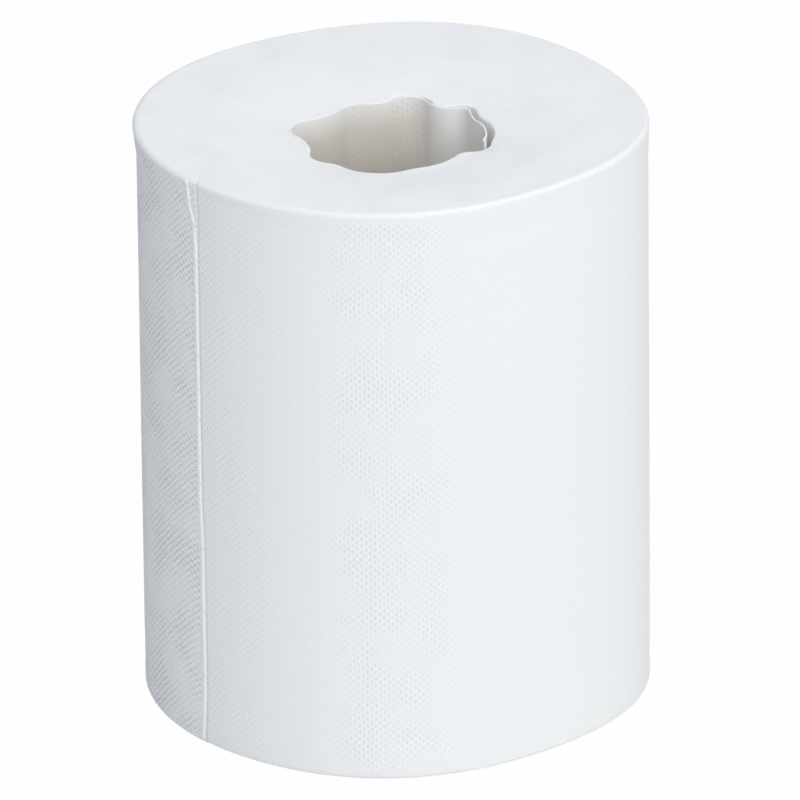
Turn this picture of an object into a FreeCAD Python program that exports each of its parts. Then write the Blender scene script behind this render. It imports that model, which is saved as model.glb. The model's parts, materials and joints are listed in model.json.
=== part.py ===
"""A coreless roll of perforated wiping web, standing on its end.

One long nonwoven web is wound round nothing: the mandrel is drawn out, so the hole in the middle
is free and its first turns settle into soft folds. The loose end lies down the outside.
Millimetres. The origin is the middle of the lower end, and +Z runs up the roll.
"""
import FreeCAD, Part
import enum
import math
import os

import Sketcher

BODY_NAME = "towel_roll"

# Driving dimensions: alias, value, meaning.
SIZES = (
    ("web_width", 200.0, "width of the web, which is the height of the roll"),
    ("roll_radius", 82.3, "mean outside radius"),
    ("oval_depth", 1.24, "how far the roll is pressed out of round, two ways"),
    ("oval_angle", 35.0, "direction of the long way of the oval"),
    ("square_depth", 1.15, "four-cornered part of the same squash"),
    ("square_angle", -11.5, "direction of one of those corners"),
    ("five_depth", 0.47, "five-cornered part of the same squash"),
    ("five_angle", -7.6, "direction of one of those corners"),
    ("rim_round", 1.8, "soft rounding where the side meets each end"),
    ("sheet_thickness", 0.5, "thickness of the web"),
    ("tail_angle", 219.9, "where the loose outer end of the web lies"),
    ("tail_run", 150.0, "turn over which the outside grows back by one sheet"),
    ("lip_width", 1.1, "width of the folded lip on the loose end"),
    ("lip_proud", 0.35, "how far the lip stands above the outer turn"),
    ("lip_over", 0.15, "how far the lip laps over the edge"),
    ("tie_pitch", 22.8, "spacing of the ties torn through on the loose end"),
    ("tie_nick", 1.6, "length of lip missing at each tie"),
    ("bore_radius", 31.4, "mean radius of the hole"),
    ("bore_forward", 10.0, "how far the hole lies off the middle"),
    ("fold_depth", 3.6, "depth of the folds round the hole"),
    ("inner_thickness", 0.7, "thickness of the free innermost turn"),
    ("inner_gap", 2.6, "gap behind the free end of the innermost turn"),
    ("inner_start", -14.0, "where that free end stands"),
    ("inner_end", 176.0, "where the innermost turn comes to lie against the next"),
    ("dish_depth", 3.0, "how far the inner turns sink at the upper end"),
    ("dish_radius", 66.0, "radius of the sunk part, round the hole"),
    ("turn_pitch", 7.0, "spacing of the turns that show as lines on the ends"),
    ("turn_clear", 4.0, "plain width left between those lines and the hole"),
    ("line_depth", 0.45, "depth of each line"),
    ("line_width", 0.6, "width of each line"),
)

# The hole's folds, going round: the direction of a crest in degrees, its reach from bore_radius as
# a share of fold_depth, its rounding, and the rounding of the dip that follows it.
FOLDS = (
    (-16, 0.55, 6, 14),
    (8, 0.65, 22, 16),
    (41, 1.05, 6, 6),
    (77, 0.95, 8, 12),
    (116, -0.35, 9, 22),
    (166, 0.60, 9, 14),
    (217, -0.10, 8, 10),
    (257, -0.05, 15, 26),
    (297, -1.00, 18, 5),
)

UPPER_LINES = 3        # turns of the spiral line scored on the upper end
LOWER_LINES = 2        # and on the lower end
OUTLINE_ARCS = 25      # arcs round the outside; an odd number, so their tangents settle one way
TAIL_ARCS = 10         # arcs of the lower outside that runs away from the loose end
CLEAR_OF_ROLL = 1.4    # how far out a cut reaches, as a share of roll_radius
INNER_TURN_LAST = 180  # the innermost turn follows the folds up to this direction
UP = FreeCAD.Vector(0, 0, 1)


class At(enum.IntEnum):
    """Where on a line or an arc a sketch takes hold of it."""

    START = 1
    END = 2
    CENTRE = 3


def fill_sheet(doc):
    """Write the driving dimensions into a sheet, one named cell each."""
    sheet = doc.addObject("Spreadsheet::Sheet", "Sizes")
    for row, (alias, value, meaning) in enumerate(SIZES, start=1):
        sheet.set(f"A{row}", alias)
        sheet.set(f"B{row}", f"{value:g}")
        sheet.set(f"C{row}", meaning)
        sheet.setAlias(f"B{row}", alias)
    doc.recompute()
    return sheet


def origin_part(body, role):
    """Find one of a body's own origin planes or axes by its role."""
    return next(item for item in body.Origin.OriginFeatures if item.Role == role)


def new_sketch(body, name, role="XY_Plane"):
    """Add a sketch on one of the body's origin planes."""
    sketch = body.newObject("Sketcher::SketchObject", name)
    sketch.AttachmentSupport = [(origin_part(body, role), "")]
    sketch.MapMode = "FlatFace"
    return sketch


def hold_point(sketch, item, point, label, place, kinds=("DistanceX", "DistanceY")):
    """Hold one point of a sketch at two worked-out distances from the sketch's origin."""
    for kind, expression in zip(("DistanceX", "DistanceY"), place):
        if kind not in kinds:
            continue
        value = float(sketch.evalExpression(expression))
        number = sketch.addConstraint(Sketcher.Constraint(kind, -1, At.START, item, point, value))
        name = f"{label}_{kind[-1].lower()}"
        sketch.renameConstraint(number, name)
        sketch.setExpression(f"Constraints.{name}", expression)


def hold_radius(sketch, item, label, expression):
    """Hold the radius of an arc or circle at a worked-out size."""
    value = float(sketch.evalExpression(expression))
    number = sketch.addConstraint(Sketcher.Constraint("Radius", item, value))
    sketch.renameConstraint(number, f"{label}_radius")
    sketch.setExpression(f"Constraints.{label}_radius", expression)


def tie(sketch, kind, first, second):
    """Tie an end of one line or arc to an end of another: Coincident or Tangent."""
    sketch.addConstraint(Sketcher.Constraint(kind, *first, *second))


def polar(radius, angle):
    """Turn expressions for a radius and an angle into the two of a flat place."""
    return f"({radius}) * cos({angle})", f"({radius}) * sin({angle})"


def place_of(sketch, place):
    """Work out where two expressions put a point now."""
    return FreeCAD.Vector(*(float(sketch.evalExpression(part)) for part in place), 0)


def add_arc(sketch, centre, radius, first, last):
    """Add the arc about a centre that runs counter-clockwise from one place to another."""
    start, end = (math.atan2(place.y - centre.y, place.x - centre.x) for place in (first, last))
    if end <= start:
        end += 2 * math.pi
    return sketch.addGeometry(Part.ArcOfCircle(Part.Circle(centre, UP, radius), start, end), False)


def add_arc_through(sketch, first, middle, last):
    """Add the arc through three places that follow each other counter-clockwise."""
    circle = Part.Circle(first, middle, last)
    return add_arc(sketch, circle.Center, circle.Radius, first, last)


def add_tangent_ring(sketch, label, places):
    """Close a ring of tangent arcs; every second place is a joint, and the rest guide the start."""
    points = [place_of(sketch, place) for place in places]
    points.append(points[0])
    arcs = [
        add_arc_through(sketch, *points[number:number + 3])
        for number in range(0, len(places), 2)
    ]
    for arc, after in zip(arcs, arcs[1:] + arcs[:1]):
        tie(sketch, "Tangent", (arc, At.END), (after, At.START))
    for number, (arc, place) in enumerate(zip(arcs, places[::2])):
        hold_point(sketch, arc, At.START, f"{label}_{number}", place)
    return arcs


def add_arc_row(sketch, label, places):
    """Add a row of arcs, each through a joint, a middle place and the next joint."""
    points = [place_of(sketch, place) for place in places]
    arcs = []
    for number in range(0, len(places) - 1, 2):
        arc = add_arc_through(sketch, *points[number:number + 3])
        if arcs:
            tie(sketch, "Coincident", (arcs[-1], At.END), (arc, At.START))
        hold_point(sketch, arc, At.START, f"{label}_{number}", places[number])
        middle = sketch.addGeometry(Part.Point(points[number + 1]), True)
        sketch.addConstraint(Sketcher.Constraint("PointOnObject", middle, At.START, arc))
        hold_point(sketch, middle, At.START, f"{label}_{number + 1}", places[number + 1])
        arcs.append(arc)
    hold_point(sketch, arcs[-1], At.END, f"{label}_{len(places) - 1}", places[-1])
    return arcs


def add_lines(sketch, label, places):
    """Add a chain of straight lines and hold its inner corners."""
    points = [place_of(sketch, place) for place in places]
    lines = [sketch.addGeometry(Part.LineSegment(a, b), False) for a, b in zip(points, points[1:])]
    for number, (before, after) in enumerate(zip(lines, lines[1:]), start=1):
        tie(sketch, "Coincident", (before, At.END), (after, At.START))
        hold_point(sketch, after, At.START, f"{label}_{number}", places[number])
    return lines


def add_polygon(sketch, label, corners):
    """Add a closed outline of straight lines and hold each of its corners."""
    lines = add_lines(sketch, label, (*corners, corners[0]))
    tie(sketch, "Coincident", (lines[-1], At.END), (lines[0], At.START))
    hold_point(sketch, lines[0], At.START, f"{label}_0", corners[0])
    return lines


def outside_at(angle, change="0"):
    """Expression for the roll's outside radius in one direction, plus a change."""
    lobes = " + ".join(
        f"Sizes.{lobe}_depth * cos({count} * ({angle} - Sizes.{lobe}_angle))"
        for lobe, count in (("oval", 2), ("square", 4), ("five", 5))
    )
    return f"Sizes.roll_radius + {lobes} + {change}"


def outward_meeting(first, first_reach, second, second_reach, middle):
    """The place at two given distances from two others, on the side away from the middle."""
    run = second - first
    along = (first_reach ** 2 - second_reach ** 2 + run.Length ** 2) / (2 * run.Length)
    aside = math.sqrt(first_reach ** 2 - along ** 2)
    step = FreeCAD.Vector(run).normalize()
    foot = first + step * along
    side = UP.cross(step) * aside
    return max(foot + side, foot - side, key=lambda place: (place - middle).Length)


def add_folds(sketch, label, folds, closed, inset):
    """Add the hole's folds: crests held in place, and dips that lie against both neighbours.

    inset gives, for a direction, the expression of how far inside the hole's wall the curve runs.
    """
    middle = FreeCAD.Vector(0, -float(sketch.evalExpression("Sizes.bore_forward")), 0)
    crests = []
    for angle, share, crest_round, dip_round in folds:
        across, along = polar(f"Sizes.bore_radius + Sizes.fold_depth * {share} - {crest_round}", angle)
        crests.append((across, f"{along} - Sizes.bore_forward"))
    crest_sizes = [f"{fold[2]} - ({inset(fold[0])})" for fold in folds]
    dip_sizes = [f"{fold[3]} + ({inset(fold[0])})" for fold in folds]
    centres = [place_of(sketch, place) for place in crests]
    reaches = [float(sketch.evalExpression(size)) for size in crest_sizes]
    hollows = [float(sketch.evalExpression(size)) for size in dip_sizes]
    pairs = [(number, (number + 1) % len(folds)) for number in range(len(folds) - (not closed))]
    dips = [
        outward_meeting(centres[a], reaches[a] + hollows[a], centres[b], reaches[b] + hollows[a], middle)
        for a, b in pairs
    ]
    touches = []
    for (a, b), dip in zip(pairs, dips):
        before = centres[a] + (dip - centres[a]) * (reaches[a] / (reaches[a] + hollows[a]))
        after = centres[b] + (dip - centres[b]) * (reaches[b] / (reaches[b] + hollows[a]))
        touches.append((before, after))
    first = centres[0] + (centres[0] - middle).normalize() * reaches[0]
    last = centres[-1] + (centres[-1] - middle).normalize() * reaches[-1]
    crest_arcs = []
    for number, centre in enumerate(centres):
        start = touches[number - 1][1] if number or closed else first
        end = touches[number][0] if number < len(touches) else last
        arc = add_arc(sketch, centre, reaches[number], start, end)
        hold_point(sketch, arc, At.CENTRE, f"{label}_crest_{number}", crests[number])
        hold_radius(sketch, arc, f"{label}_crest_{number}", crest_sizes[number])
        crest_arcs.append(arc)
    for (a, b), dip, (before, after) in zip(pairs, dips, touches):
        arc = add_arc(sketch, dip, hollows[a], after, before)
        tie(sketch, "Tangent", (crest_arcs[a], At.END), (arc, At.END))
        tie(sketch, "Tangent", (arc, At.START), (crest_arcs[b], At.START))
        hold_radius(sketch, arc, f"{label}_dip_{a}", dip_sizes[a])
    return crest_arcs


def require_change(before, after, what, grows):
    """Stop if a feature left the solid as it was."""
    change = after.Shape.Volume - before.Shape.Volume
    if (change <= 0) if grows else (change >= 0):
        raise RuntimeError(f"{what} changed nothing")


def cut_through(body, name, sketch):
    """Cut a sketch of the lower end right through the roll."""
    pocket = body.newObject("PartDesign::Pocket", name)
    pocket.Profile = sketch
    pocket.Type = "ThroughAll"
    pocket.Reversed = True
    return pocket


def wind_body(doc, body):
    """The wound web as one block: its squashed outline, raised to the width of the web."""
    outline = new_sketch(body, "outline")
    half_step = 180 / OUTLINE_ARCS
    angles = [f"({half_step * number:g})" for number in range(2 * OUTLINE_ARCS)]
    add_tangent_ring(outline, "outside", [polar(outside_at(angle), angle) for angle in angles])
    block = body.newObject("PartDesign::Pad", "wound_web")
    block.Profile = outline
    block.setExpression("Length", "Sizes.web_width")
    doc.recompute()
    width = block.Length.Value
    rims = [
        f"Edge{number}" for number, edge in enumerate(block.Shape.Edges, start=1)
        if edge.BoundBox.ZLength < 0.5 * width
    ]
    rounding = body.newObject("PartDesign::Fillet", "soft_rims")
    rounding.Base = (block, rims)
    rounding.setExpression("Radius", "Sizes.rim_round")
    doc.recompute()
    require_change(block, rounding, "the rounding of the rims", grows=False)
    return rounding


def open_bore(doc, body, solid):
    """The hole that the mandrel left, with its folds, right through."""
    sketch = new_sketch(body, "bore_outline")
    add_folds(sketch, "bore", FOLDS, closed=True, inset=lambda angle: "0")
    bore = cut_through(body, "bore", sketch)
    doc.recompute()
    require_change(solid, bore, "the hole", grows=False)
    return bore


def add_inner_turn(doc, body, solid):
    """The innermost turn: it stands free of the hole's wall and closes on it further round."""
    sketch = new_sketch(body, "inner_turn_outline")
    folds = [fold for fold in FOLDS if fold[0] < INNER_TURN_LAST]

    def back_inset(angle):
        left = f"(Sizes.inner_end - ({angle})) / (Sizes.inner_end - Sizes.inner_start)"
        return f"Sizes.inner_gap * {left} - 0.5 * Sizes.inner_thickness * (1 - {left})"

    def face_inset(angle):
        return f"{back_inset(angle)} + Sizes.inner_thickness"

    back = add_folds(sketch, "back", folds, closed=False, inset=back_inset)
    face = add_folds(sketch, "face", folds, closed=False, inset=face_inset)
    doc.recompute()
    for end, number, angle in ((At.START, 0, "Sizes.inner_start"), (At.END, -1, "Sizes.inner_end")):
        points = (sketch.getPoint(curve[number], end) for curve in (back, face))
        line = sketch.addGeometry(Part.LineSegment(*points), False)
        tie(sketch, "Coincident", (back[number], end), (line, At.START))
        tie(sketch, "Coincident", (face[number], end), (line, At.END))
        direction, share, crest_round, _ = folds[number]
        for point, inset in ((At.START, back_inset), (At.END, face_inset)):
            radius = f"({crest_round} - ({inset(direction)}))"
            centre = f"(Sizes.bore_radius + Sizes.fold_depth * {share} - {crest_round}) * sin({direction})"
            height = f"{centre} - Sizes.bore_forward + {radius} * sin({angle})"
            label = f"{end.name.lower()}_{point.name.lower()}"
            hold_point(sketch, line, point, label, ("0", height), kinds=("DistanceY",))
    turn = body.newObject("PartDesign::Pad", "inner_turn")
    turn.Profile = sketch
    turn.setExpression("Length", "Sizes.web_width")
    doc.recompute()
    require_change(solid, turn, "the innermost turn", grows=True)
    return turn


def turned_groove(doc, body, solid, name, sketch, angle=360):
    """Cut a profile round the upright axis drawn in its own sketch."""
    groove = body.newObject("PartDesign::Groove", name)
    groove.Profile = sketch
    groove.ReferenceAxis = (sketch, ["Axis0"])
    groove.Angle = angle
    doc.recompute()
    require_change(solid, groove, name, grows=False)
    return groove


def add_axis(sketch, aside):
    """Draw the upright axis that a profile is turned about."""
    foot = (aside, "0")
    head = (aside, "Sizes.web_width")
    axis = sketch.addGeometry(Part.LineSegment(place_of(sketch, foot), place_of(sketch, head)), True)
    hold_point(sketch, axis, At.START, "axis_foot", foot)
    hold_point(sketch, axis, At.END, "axis_head", head)


def sink_upper_end(doc, body, solid):
    """The shallow dish at the upper end, where the inner turns have sunk."""
    sketch = new_sketch(body, "dish_profile", "YZ_Plane")
    middle = "-Sizes.bore_forward"
    top = "Sizes.web_width"
    bottom = f"{top} - Sizes.dish_depth"
    add_axis(sketch, middle)
    add_polygon(sketch, "corner", (
        (middle, top),
        (middle, bottom),
        (f"{middle} + Sizes.bore_radius", bottom),
        (f"{middle} + Sizes.dish_radius", top),
    ))
    return turned_groove(doc, body, solid, "sunk_turns", sketch)


def upper_level(reach):
    """Expression for the height of the sunk upper end at a distance from the hole's middle."""
    fall = "Sizes.dish_depth / (Sizes.dish_radius - Sizes.bore_radius)"
    return f"Sizes.web_width - (Sizes.dish_radius - ({reach})) * {fall}"


def score_turns(doc, body, solid, name, lines, level, side):
    """Score an end with a spiral line of half circles about two centres, as the web is wound.

    level gives the face's height at a distance from the hole's middle; side is 1 on the upper end.
    """
    middle = "-Sizes.bore_forward"
    first = "Sizes.bore_radius + Sizes.fold_depth + Sizes.turn_clear"
    halves = (
        ("near_half", middle, 1, "0"),
        ("far_half", f"{middle} + 0.5 * Sizes.turn_pitch", -1, "0.5"),
    )
    for half, axis, way, share in halves:
        sketch = new_sketch(body, f"{name}_{half}_lines", "YZ_Plane")
        add_axis(sketch, axis)
        for number in range(lines):
            reach = f"({first} + {number} * Sizes.turn_pitch)"
            at = f"{middle} + {way} * {reach}"
            height = level(f"{reach} + {share} * Sizes.turn_pitch")
            add_polygon(sketch, f"line_{number}", (
                (f"{at} - Sizes.line_width", f"{height} + {side} * Sizes.line_depth"),
                (at, f"{height} - {side} * Sizes.line_depth"),
                (f"{at} + Sizes.line_width", f"{height} + {side} * Sizes.line_depth"),
            ))
        solid = turned_groove(doc, body, solid, f"{name}_{half}", sketch, angle=180)
    return solid


def step_past_tail(doc, body, solid):
    """Beside the loose end the outside is one sheet lower, and grows back round the roll."""
    sketch = new_sketch(body, "tail_step_outline")
    places = []
    for number in range(2 * TAIL_ARCS + 1):
        share = number / (2 * TAIL_ARCS)
        angle = f"(Sizes.tail_angle + Sizes.tail_run * {share})"
        places.append(polar(outside_at(angle, f"Sizes.sheet_thickness * {1.2 * share - 1:.3f}"), angle))
    arcs = add_arc_row(sketch, "under", places)
    far = f"{CLEAR_OF_ROLL} * Sizes.roll_radius"
    corners = [places[-1]]
    corners += [polar(far, f"(Sizes.tail_angle + Sizes.tail_run * {share})") for share in (1, 0.5, 0)]
    corners += [places[0]]
    lines = add_lines(sketch, "clear", corners)
    tie(sketch, "Coincident", (arcs[-1], At.END), (lines[0], At.START))
    tie(sketch, "Coincident", (arcs[0], At.START), (lines[-1], At.END))
    step = cut_through(body, "tail_step", sketch)
    doc.recompute()
    require_change(solid, step, "the step at the loose end", grows=False)
    return step


def add_tail_lip(doc, body, solid):
    """The folded lip down the loose end, broken where each tie was torn."""
    sketch = new_sketch(body, "lip_section")
    sketch.setExpression("AttachmentOffset.Base.z", "0.5 * Sizes.tie_nick + Sizes.rim_round")

    def corner(rise, aside):
        angle = f"(Sizes.tail_angle + 180 / pi * ({aside}) / Sizes.roll_radius)"
        return polar(outside_at("Sizes.tail_angle", rise), angle)

    add_polygon(sketch, "lip", (
        corner("(-Sizes.sheet_thickness - Sizes.lip_over)", "-Sizes.lip_width"),
        corner("(-Sizes.sheet_thickness - Sizes.lip_over)", "Sizes.lip_over"),
        corner("Sizes.lip_proud", "Sizes.lip_over"),
        corner("Sizes.lip_proud", "-0.5 * Sizes.lip_width"),
        corner("0", "-Sizes.lip_width"),
    ))
    lip = body.newObject("PartDesign::Pad", "lip")
    lip.Profile = sketch
    lip.setExpression("Length", "Sizes.tie_pitch - Sizes.tie_nick")
    doc.recompute()
    row = body.newObject("PartDesign::LinearPattern", "lip_row")
    row.Originals = [lip]
    row.Direction = (origin_part(body, "Z_Axis"), [""])
    count = "floor((Sizes.web_width - 2 * Sizes.rim_round) / Sizes.tie_pitch)"
    row.setExpression("Occurrences", count)
    row.setExpression("Length", f"Sizes.tie_pitch * ({count} - 1)")
    body.Tip = row
    doc.recompute()
    require_change(solid, lip, "the lip", grows=True)
    require_change(lip, row, "the row of lips", grows=True)
    return row


def check(doc, body):
    """Stop if anything failed, or the roll isn't one sound solid."""
    failed = [item.Name for item in doc.Objects if {"Invalid", "Error"} & set(item.State)]
    if failed:
        raise RuntimeError(f"these failed: {failed}")
    shape = body.Shape
    if shape.isNull() or not shape.isValid() or len(shape.Solids) != 1:
        raise RuntimeError(f"{body.Label} isn't one sound solid")


def main():
    """Build the roll, check it and write it."""
    doc = FreeCAD.newDocument("roll")
    fill_sheet(doc)
    body = doc.addObject("PartDesign::Body", BODY_NAME)
    body.Label = BODY_NAME
    solid = wind_body(doc, body)
    solid = open_bore(doc, body, solid)
    solid = add_inner_turn(doc, body, solid)
    solid = sink_upper_end(doc, body, solid)
    solid = score_turns(doc, body, solid, "upper_turns", UPPER_LINES, upper_level, side=1)
    solid = score_turns(doc, body, solid, "lower_turns", LOWER_LINES, lambda reach: "0", side=-1)
    solid = step_past_tail(doc, body, solid)
    solid = add_tail_lip(doc, body, solid)
    check(doc, body)
    os.makedirs("parts", exist_ok=True)
    body.Shape.exportStep(os.path.join("parts", f"{body.Label}.step"))


main()
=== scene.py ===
"""Dresses the coreless roll of perforated wiping web: its wound body, free inner turn and loose end.

Metres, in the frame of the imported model. The web's fine mesh, its fibres and the edges of its
turns are procedural; the outline, the hole, the sunk end, the creases and the folded lip are shaped.
"""
import json
import logging
import math
from dataclasses import dataclass, field
from enum import Enum

import bmesh
import bpy
from mathutils import Matrix, Vector, noise
from mathutils.bvhtree import BVHTree


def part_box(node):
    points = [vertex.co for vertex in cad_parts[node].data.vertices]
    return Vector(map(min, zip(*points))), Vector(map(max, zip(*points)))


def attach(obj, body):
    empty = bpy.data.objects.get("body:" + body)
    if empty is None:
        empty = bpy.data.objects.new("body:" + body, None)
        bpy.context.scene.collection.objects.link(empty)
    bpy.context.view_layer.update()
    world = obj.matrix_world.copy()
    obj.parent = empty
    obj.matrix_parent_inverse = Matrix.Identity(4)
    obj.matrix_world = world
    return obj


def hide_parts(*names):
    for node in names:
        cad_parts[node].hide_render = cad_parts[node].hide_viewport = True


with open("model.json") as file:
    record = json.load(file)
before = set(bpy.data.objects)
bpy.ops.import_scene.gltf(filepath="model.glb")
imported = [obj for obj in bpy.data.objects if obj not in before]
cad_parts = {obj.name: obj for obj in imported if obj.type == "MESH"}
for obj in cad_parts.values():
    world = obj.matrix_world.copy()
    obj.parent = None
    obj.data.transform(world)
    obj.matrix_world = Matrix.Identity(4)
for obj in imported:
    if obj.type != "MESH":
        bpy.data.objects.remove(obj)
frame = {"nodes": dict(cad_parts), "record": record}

MM = 0.001
FULL_TURN = 2 * math.pi
NODE = "towel_roll"
BODY = "root"
WEB_MAP = "web"
# How far along the web the loose pieces start, which keeps them out of the shade beside the lip.
CLEAR_OF_TAIL = 0.1
# Places on the plain body that are nearer than this are level with each other.
TOUCH = MM / 100
# Vertices nearer than this are one.
MERGE = MM / 1000
LOG = logging.getLogger("roll")


class Face(Enum):
    """Which finish a face of the roll takes; the value is its place in the material list."""

    WEB = 0
    CUT_END = 1
    HOLE = 2


def smooth_step(low: float, high: float, value: float) -> float:
    """Rise from 0 at low to 1 at high, flat at both ends.

    Args:
        low: Where the rise starts; it may lie above high for a fall.
        high: Where the rise ends.
        value: The place on that scale.

    Returns:
        A number from 0 to 1.
    """
    share = min(max((value - low) / (high - low), 0.0), 1.0)
    return share * share * (3 - 2 * share)


def follow(points: tuple[tuple[float, float], ...], place: float) -> float:
    """Read a value off a chain of points, level beyond its ends.

    Args:
        points: Pairs of place and value, in rising order of place.
        place: Where to read.

    Returns:
        The value there.
    """
    if place <= points[0][0]:
        return points[0][1]
    for (before, low), (after, high) in zip(points, points[1:]):
        if place <= after:
            return low + (high - low) * smooth_step(before, after, place)
    return points[-1][1]


@dataclass
class CadRoll:
    """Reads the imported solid's walls by casting rays through it."""

    node: bpy.types.Object
    tie_height: float = 93.0 * MM
    ray_step: float = 0.01 * MM
    tree: BVHTree = field(init=False)
    middle: Vector = field(init=False)
    height: float = field(init=False)

    def __post_init__(self) -> None:
        """Build the search tree and read the hole's middle and the roll's height."""
        solid = bmesh.new()
        solid.from_mesh(self.node.data)
        self.tree = BVHTree.FromBMesh(solid)
        solid.free()
        mount = next(m for m in frame["record"]["mounts"] if m["name"] == "centre_hole")
        self.middle = Vector(mount["pos_m"])
        low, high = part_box(NODE)
        self.height = high.z - low.z

    def crossings(self, start: Vector, angle: float) -> list[float]:
        """List the distances at which a level ray passes through the solid's walls.

        Args:
            start: Where the ray starts.
            angle: Its direction about +Z, in radians.

        Returns:
            The distances, nearest first.
        """
        way = Vector((math.cos(angle), math.sin(angle), 0))
        found = []
        reach = 0.0
        while True:
            hit, _, _, run = self.tree.ray_cast(start + way * reach, way)
            if hit is None:
                return found
            reach += run + self.ray_step
            found.append(reach)

    def outside(self, angle: float) -> float:
        """Give the outside radius in one direction, at a height where the lip is torn away."""
        return self.crossings(Vector((0, 0, self.tie_height)), angle)[-1]

    def bore(self, angle: float) -> float:
        """Give the hole's radius from its own middle, behind the free turn."""
        return self.crossings(self.middle, angle)[-2]

    def inner_face(self, angle: float) -> float:
        """Give the first wall met from the hole's middle: the free turn, or the hole's own wall."""
        return self.crossings(self.middle, angle)[0]


@dataclass
class Outline:
    """The roll in plan: radii round the outside and round the hole, one for each column."""

    cad: CadRoll
    columns: int = 400
    tail_degrees: float = 219.9
    before_tail: float = 0.06
    after_tail: float = 0.16
    angles: list[float] = field(init=False)
    outer: list[float] = field(init=False)
    bore: list[float] = field(init=False)
    mean_bore: float = field(init=False)
    tail_column: int = field(init=False)

    def __post_init__(self) -> None:
        """Place the columns, with two close together at the loose end, and read their radii."""
        step = 360 / self.columns
        degrees = [step * number for number in range(self.columns)]
        self.tail_column = int(self.tail_degrees / step)
        degrees[self.tail_column] = self.tail_degrees - self.before_tail
        degrees[self.tail_column + 1] = self.tail_degrees + self.after_tail
        self.angles = [math.radians(value) for value in degrees]
        self.outer = [self.cad.outside(angle) for angle in self.angles]
        raw = [self.cad.bore(angle) for angle in self.angles]
        self.bore = [
            (raw[number - 1] + 2 * raw[number] + raw[(number + 1) % self.columns]) / 4
            for number in range(self.columns)
        ]
        self.mean_bore = sum(self.bore) / self.columns

    def column_of(self, place: Vector) -> int:
        """Find which column a vertex of the spun body stands in."""
        angle = math.atan2(place.y, place.x) % FULL_TURN
        return round(angle / FULL_TURN * self.columns) % self.columns

    def run_of(self, column: int) -> int:
        """Count a column from the loose end, which is where the web's own length starts."""
        return (column - self.tail_column - 1) % self.columns


@dataclass
class Creases:
    """The soft unevenness of the wound web: its flare, its creases and its slack."""

    height: float
    flare: float = 0.9 * MM
    flare_reach: float = 12 * MM
    flare_middle: float = 182.0
    flare_half: float = 75.0
    general_flare: float = 0.25 * MM
    crease_depth: float = 0.28 * MM
    crease_half: float = 1.3 * MM
    crease_drop: tuple = ((215.0, 3.4 * MM), (262.0, 7.5 * MM), (290.0, 10.5 * MM), (345.0, 13.0 * MM))
    low_crease_share: float = 0.45
    low_crease_rise: tuple = ((200.0, 9 * MM), (270.0, 12 * MM), (340.0, 8 * MM))
    slack: float = 0.22 * MM
    slack_size: float = 38 * MM
    slack_stretch: float = 0.35
    pucker: float = 0.07 * MM
    pucker_size: float = 9 * MM

    def swell(self, angle: float, radius: float, height: float) -> float:
        """Give how far the side stands out or in at one place.

        Args:
            angle: Direction about +Z, in radians.
            radius: The outside radius there.
            height: Height above the lower end.

        Returns:
            The distance outwards, in metres.
        """
        degrees = math.degrees(angle) % 360
        below = self.height - height
        near_rim = smooth_step(self.flare_reach, 0, below)
        beside = abs((degrees - self.flare_middle + 180) % 360 - 180)
        side = smooth_step(self.flare_half, 0, beside)
        out = near_rim * (self.general_flare + self.flare * side)
        upper = (below - follow(self.crease_drop, degrees)) / self.crease_half
        lower = (height - follow(self.low_crease_rise, degrees)) / self.crease_half
        out -= self.crease_depth * math.exp(-upper * upper)
        out -= self.crease_depth * self.low_crease_share * math.exp(-lower * lower)
        spot = Vector((radius * math.cos(angle), radius * math.sin(angle), height * self.slack_stretch))
        held = smooth_step(0, self.flare_reach, min(below, height))
        out += self.slack * held * noise.noise(spot / self.slack_size)
        spot.z = height
        out += self.pucker * noise.noise(spot / self.pucker_size)
        return out


@dataclass
class TailLine:
    """Where the loose end runs, which isn't quite upright."""

    height: float
    aside: tuple = (
        (0.0, 0.3), (21 * MM, 1.0), (68 * MM, 1.0), (90 * MM, 0.45), (172 * MM, 0.35), (200 * MM, 0.45),
    )
    lean: tuple = ((172 * MM, 0.0), (183 * MM, -0.45), (192 * MM, -2.1), (200 * MM, -2.65))
    spread: float = 3.0

    def shift(self, height: float) -> float:
        """Give the free edge's turn from its mean direction, in degrees."""
        return follow(self.aside, height)

    def lip_shift(self, height: float) -> float:
        """Give the folded lip's turn, which leans away from the edge near the upper end."""
        return self.shift(height) + follow(self.lean, height)

    def pull(self, degrees: float, height: float) -> float:
        """Turn a place near the loose end along with it.

        Args:
            degrees: How far round the place lies from the loose end.
            height: Height above the lower end.

        Returns:
            The turn to add, in degrees.
        """
        near = degrees / self.spread
        return self.shift(height) * math.exp(-near * near)


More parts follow.
